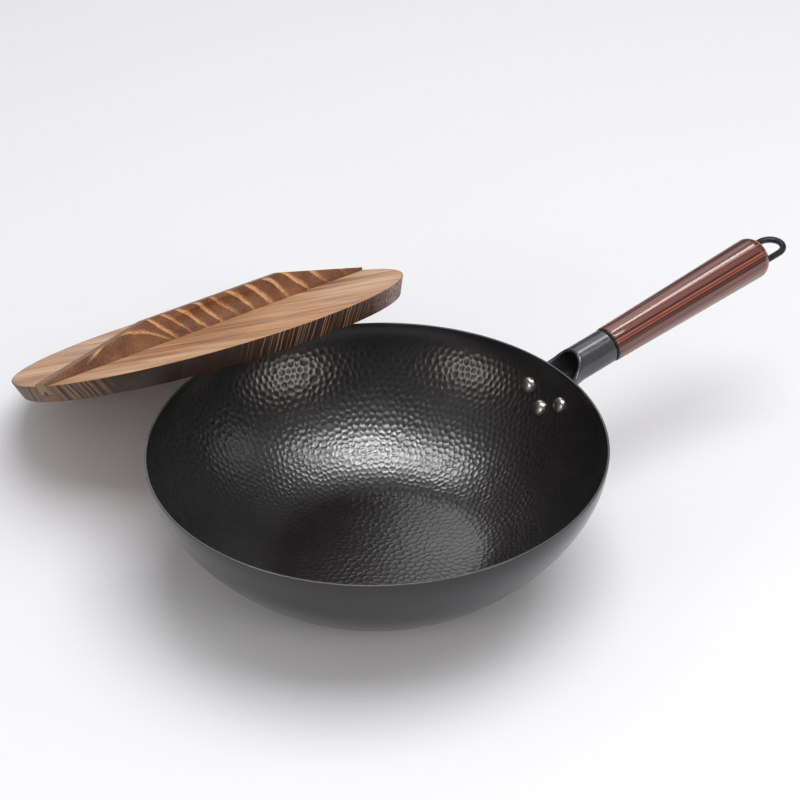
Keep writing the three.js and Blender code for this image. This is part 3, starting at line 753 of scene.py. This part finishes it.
def board_wood(name, pith_u, pith_n, tint):
    """Scorched softwood: growth rings about a pith line along the board, at (u, n) in the lid's frame."""

    def shade(red, green, blue):
        return red * tint, green * tint, blue * tint, 1

    made, shader, spot = new_material(name, local=True, Specular_IOR_Level=0.35)
    grown = spot.node("ShaderNodeMapping", {"Vector": spot, "Rotation": (0, 0, GRAIN_TURN)})
    slow = grown.scaled((1.0, 0.1, 1.0))
    wander = slow.noise(22.0, 2.0) * 0.012 + slow.noise(140.0, 3.0) * 0.002
    off_u = grown.axis("X") - pith_u
    off_n = spot.axis("Z") - pith_n
    ring = ((off_u * off_u + off_n * off_n).maths("SQRT") + wander) / RING_WIDTH
    turn = ring.maths("FRACT")
    late = turn.step(0.55, 0.88) - turn.step(0.9, 1.0)
    fibre = grown.scaled((1.0, 0.022, 1.0)).noise(1500.0, 3.0, 0.6)
    streak = grown.scaled((1.0, 0.05, 1.0)).noise(260.0, 3.0, 0.6)
    patch = grown.scaled((1.0, 0.45, 1.0)).noise(20.0, 3.0)
    band = grown.scaled((1.0, 0.09, 1.0)).noise(75.0, 2.0)
    grain = late * 0.16 + fibre * 0.35 + streak * 0.65 + band * 0.85 - 0.67
    pale = patch.step(0.3, 0.7).blend(shade(0.6, 0.3, 0.14), shade(0.8, 0.48, 0.28))
    top = grain.step(0.05, 0.72).blend(pale, shade(0.2, 0.078, 0.036))
    sole = grain.step(0.0, 0.6).blend(shade(0.34, 0.17, 0.085), shade(0.1, 0.042, 0.022))

    # The rim, by the angle around it from the bar's near end: a brown worn tip, dark and tan stripes, charred
    # wood with paler lines fanned across the boards' sawn ends, then a brown crust and a paler mottled grey
    # at the other end, which is partly weathering and partly painted light where light from the right falls
    # on that end.
    reach = (spot.axis("X") * spot.axis("X") + spot.axis("Y") * spot.axis("Y")).maths("SQRT")
    inside = reach - spot.axis("Z") * ((LID_HIGH - LID_LOW) / LID_THICK)
    rim = inside.step(LID_LOW - 0.0016, LID_LOW - 0.0002)
    below = 1.0 - spot.axis("Z").step(0.0002, 0.0012)
    scorch = spot.noise(40.0, 3.0)
    charred = scorch.step(0.3, 0.7).blend((0.017, 0.0075, 0.0045, 1), (0.04, 0.018, 0.01, 1))
    around = (spot.axis("Y") * -1.0).maths("ARCTAN2", spot.axis("X") * -1.0).maths("ABSOLUTE")
    near_side = around.step(0.5, 1.1)
    run = around * LID_LOW + spot.axis("Z") * (0.35 - near_side * 0.8) + spot.noise(60.0, 2.0) * 0.003
    lines = run.stripes(around.step(0.6, 0.8) * 430.0 + 210.0, 1.5)
    ends = lines.step(0.44, 0.56).blend((0.024, 0.013, 0.008, 1), (0.19, 0.1, 0.05, 1))
    fanned = lines.step(0.52, 0.68) * (around.step(1.0, 1.3) - around.step(1.7, 1.95))
    fan = fanned.blend(charred, (0.3, 0.15, 0.075, 1))
    past_ends = around.step(0.34, 0.5) + (1.0 - scorch.step(0.3, 0.6)) * 0.35
    striped = past_ends.maths("MINIMUM", 1.0).blend(ends, fan)
    past_tip = around.step(0.06, 0.13) + lines.step(0.3, 0.6) * 0.2
    tip = past_tip.maths("MINIMUM", 1.0).blend((0.15, 0.076, 0.042, 1), striped)
    rough = scorch * 0.3 + spot.noise(420.0, 4.0, 0.65) * 0.7
    crust = rough.step(0.4, 0.62).blend((0.035, 0.016, 0.01, 1), (0.19, 0.09, 0.055, 1))
    brown = around.step(1.72, 1.95).blend(tip, crust)
    # The paler mottled grey at this end is partly weathered wood and partly painted light for the lit end of
    # the rim.
    grey = (rough * 0.7 + streak * 0.3).step(0.42, 0.6)
    mottled = grey.blend((0.07, 0.036, 0.024, 1), (0.4, 0.27, 0.2, 1))
    weathered_and_lit_end = around.step(1.95, 2.1).blend(brown, mottled)
    wire(
        shader,
        Base_Color=rim.blend(below.blend(top, sole), weathered_and_lit_end),
        Roughness=grain * 0.2 + 0.45,
        Normal=(late * -0.5 + fibre * 0.6).bump(0.25, 0.0005),
    )
    return made


piths = ((-0.165, -0.02), (-0.06, -0.034), (-0.004, -0.05), (0.1, -0.03), (0.17, -0.03))
for i, (pith_u, pith_n) in enumerate(piths):
    node = f"lid_plank_{i + 1}"
    plank = cad_copy(node, f"board_{i + 1}")
    rounded(plank, BOARD_ROUND)
    keep_place(plank, lid_frame)
    plank.data.materials.append(board_wood(f"board_wood_{i + 1}", pith_u, pith_n, 1.0 - 0.03 * (i % 2)))
    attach(plank, "lid")
    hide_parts(node)


# Pegs: short round dowels of pale bamboo, two across each seam, glued into both boards to keep them level.
# The boards hide them.
dowel, dowel_shader, spot = new_material("dowel", Roughness=0.6)
fibre = spot.scaled((1.0, 0.1, 1.0)).noise(900.0, 3.0)
wire(dowel_shader, Base_Color=fibre.step(0.3, 0.7).blend((0.5, 0.33, 0.16, 1), (0.66, 0.48, 0.26, 1)))
for seam in range(1, len(piths)):
    for end in ("near", "far"):
        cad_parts[f"plank_peg_{seam}_{end}"].material_slots[0].material = dowel


# Bar: one batten of the same wood, slid across the boards in a dovetail groove, tapered to both ends and
# coved along both sides for the fingers. The cove cuts the growth rings into a row of breaking waves.
BAR_ROUND = 0.0006
BAR_RISE = 0.0205
bar = cad_copy("lid_bar", "lid_batten")
rounded(bar, BAR_ROUND)
keep_place(bar, lid_frame)
batten, batten_shader, spot = new_material("batten_wood", local=True, Specular_IOR_Level=0.35)
rise = (spot.axis("Z") - LID_THICK) / BAR_RISE
wobble = spot.scaled((1.0, 0.3, 1.0)).noise(40.0, 3.0) - 0.5
height = rise.maths("MINIMUM", 1.0)
lean = (1.0 - height) * 0.7 + (1.0 - height * height).maths("SQRT") * 0.3
run = spot.axis("X") - lean * 0.021 + wobble * 0.011 + 0.058
wave = run * 70.0 - run * run * 70.0
turn = wave.maths("FRACT")
waves = turn.step(0.0, 0.07) - turn.step(0.08, 0.46)
off_arch = (spot.axis("X") + 0.08) / 0.038
over = rise - (1.0 - off_arch * off_arch) * 0.72 + wobble * 0.25
arched = over.step(0.0, 0.05) - over.step(0.06, 0.24)
past_arch = run.step(-0.003, 0.0)
crest = past_arch.node("ShaderNodeMix", {0: past_arch, 2: arched, 3: waves})
fibre = spot.scaled((0.06, 1.0, 1.0)).noise(1300.0, 3.0, 0.6)
which_wave = wave - turn
wave_tone = which_wave.node("ShaderNodeTexWhiteNoise", {"W": which_wave}, noise_dimensions="1D")
speck = spot.noise(900.0, 3.0, 0.6)
plain = (spot.axis("X") * -1.0).step(0.1, 0.125) + spot.axis("X").step(0.09, 0.14) * 0.6
# Each wave gets its own random brightness, and the crests dim towards the bar's foot.
crested = crest * (1.0 - plain) * (rise.step(-0.1, 0.7) * 0.6 + 0.4) * (wave_tone * 0.5 + 0.55)
tone = crested * (speck.step(0.3, 0.6) * 0.5 + 0.5) + fibre * 0.2 + speck * 0.2 - 0.16
dark = (wobble + speck).step(0.2, 0.8).blend((0.11, 0.044, 0.021, 1), (0.27, 0.115, 0.053, 1))
flame = tone.step(0.06, 0.72).blend(dark, (0.66, 0.35, 0.16, 1))
facing = spot.node("ShaderNodeNewGeometry", {}, output="True Normal")
side = facing.measured("DOT_PRODUCT", lid_frame.to_3x3() @ Vector((0, 1, 0))).maths("ABSOLUTE")
strip = fibre.step(0.3, 0.7).blend((0.17, 0.09, 0.05, 1), (0.3, 0.18, 0.11, 1))
bare = side.step(0.3, 0.55).blend(strip, flame)
# A near-black disc on the bar's dovetail end at the lid's rim is painted shade for the dark gap there; the
# mesh has no hole.
from_painted_gap_shade = spot.measured("DISTANCE", (-0.1515, 0.0, 0.0072)) + wobble * 0.002
wire(
    batten_shader,
    Base_Color=from_painted_gap_shade.step(0.0018, 0.003).blend((0.008, 0.005, 0.004, 1), bare),
    Roughness=fibre * 0.2 + 0.45,
    Normal=(crest + fibre * 0.4).bump(0.3, 0.0006),
)
bar.data.materials.append(batten)
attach(bar, "lid")
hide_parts("lid_bar")


# Studio: a pale floor that turns to white far from the wok, under a wide soft light overhead and another in
# front, which give diffuse light alone. Narrower lamps, seen by gloss alone, are what the coat mirrors, and
# two small warm ones at the front give both.
FLOOR_RADIUS = 6.0
FLOOR_DROP = 0.0002
WHITE_FROM = 1.3
WHITE_TO = 2.8
floor = add_piece("floor", *turned([(0.0, 0.0), (0.5, 0.0), (FLOOR_RADIUS, 0.0)], 96))
floor.location.z = -FLOOR_DROP
floor_paint, floor_shader, spot = new_material("floor", Roughness=0.75, Specular_IOR_Level=0.2)
floor_tree = floor_paint.node_tree
dust = spot.noise(3.0, 2.0)
wire(floor_shader, Base_Color=dust.blend((0.86, 0.86, 0.885, 1), (0.87, 0.87, 0.895, 1)))
ray = floor_tree.nodes.new("ShaderNodeLightPath").outputs
looks = [Paint(floor_tree, ray[f"Is {kind} Ray"]) for kind in ("Camera", "Glossy", "Transmission")]
looked_at = (looks[0] + looks[1] + looks[2]).maths("MINIMUM", 1.0)
far_off = spot.measured("LENGTH").step(WHITE_FROM, WHITE_TO)
white = spot.node("ShaderNodeEmission", {"Color": (1, 1, 1, 1), "Strength": 1.0})
lit_floor = Paint(floor_tree, floor_shader.outputs[0])
faded = spot.node("ShaderNodeMixShader", {0: far_off * looked_at, 1: lit_floor, 2: white})
floor_tree.links.new(faded.socket, floor_tree.nodes["Material Output"].inputs["Surface"])
floor.data.materials.append(floor_paint)


def add_light(
    name, direction, distance, width, depth, power, spin=0, color=(1, 1, 1), diffuse=False, gloss=True
):
    """An area light that faces the wok from a direction given in the camera's heading: right, away, up."""
    lamp = bpy.data.objects.new(name, bpy.data.lights.new(name, "AREA"))
    lamp.data.shape = "RECTANGLE"
    lamp.data.size = width
    lamp.data.size_y = depth
    lamp.data.energy = power
    lamp.data.color = color
    lamp.visible_glossy = gloss
    lamp.visible_diffuse = diffuse
    way = Vector(direction).normalized()
    back = Vector((0, 0, 1)) if abs(way.z) < 0.7 else Vector((0, 1, 0))
    side = back.cross(way).normalized()
    turn = Matrix((side, way.cross(side), way)).transposed() @ Matrix.Rotation(math.radians(spin), 3, "Z")
    lamp.matrix_world = Matrix.Translation(camera_turn @ (way * distance)) @ (camera_turn @ turn).to_4x4()
    scene.collection.objects.link(lamp)
    return lamp


add_light("light_key", (0.22, 0.06, 0.97), 3.2, 2.6, 2.6, 77, diffuse=True, gloss=False)
add_light("light_front", (0.1, -0.8, 0.6), 3.2, 2.4, 1.6, 11, diffuse=True, gloss=False)
add_light("light_top", (0.03, -0.19, 0.98), 1.6, 0.6, 0.17, 10)
add_light("light_top_left", (-0.36, -0.03, 0.93), 1.6, 0.74, 0.2, 7, spin=-33)
add_light("light_top_right", (0.4, -0.1, 0.91), 1.6, 0.6, 0.18, 3.8, spin=25)
WARM = (1, 0.95, 0.9)
add_light("light_left", (-0.714, -0.593, 0.372), 1.7, 0.48, 0.52, 3.6, color=WARM, diffuse=True)
add_light("light_right", (0.673, -0.621, 0.402), 1.7, 0.52, 0.52, 4.7, color=WARM, diffuse=True)
add_light("light_side", (0.82, 0.18, 0.54), 1.7, 0.4, 0.4, 0.6)
add_light("light_back", (-0.18, 0.67, 0.72), 2.0, 1.6, 1.0, 7.6)
lacquer = bpy.data.collections.new("lacquer")
lacquer.objects.link(grip)
lacquer.objects.link(bracket)
grip_light = add_light("light_grip", (0.304, 0.387, 0.873), 1.81, 0.6, 0.3, 6.2, spin=37)
grip_light.light_linking.receiver_collection = lacquer

# The world is white to the camera and a soft grey fill to the rest. Gloss sees it dim, as a dark room.
WORLD_FILL = 0.36
WORLD_GLOSS = 0.09
world = bpy.data.worlds.new("studio")
world.use_nodes = True
scene.world = world
ray = world.node_tree.nodes.new("ShaderNodeLightPath").outputs
seen = Paint(world.node_tree, ray["Is Camera Ray"])
mirrored = Paint(world.node_tree, ray["Is Glossy Ray"])
background = world.node_tree.nodes["Background"]
background.inputs["Color"].default_value = (1, 1, 1, 1)
strength = seen * (1 - WORLD_FILL) + WORLD_FILL - mirrored * (WORLD_FILL - WORLD_GLOSS)
world.node_tree.links.new(strength.socket, background.inputs["Strength"])

scene.view_settings.view_transform = "Standard"
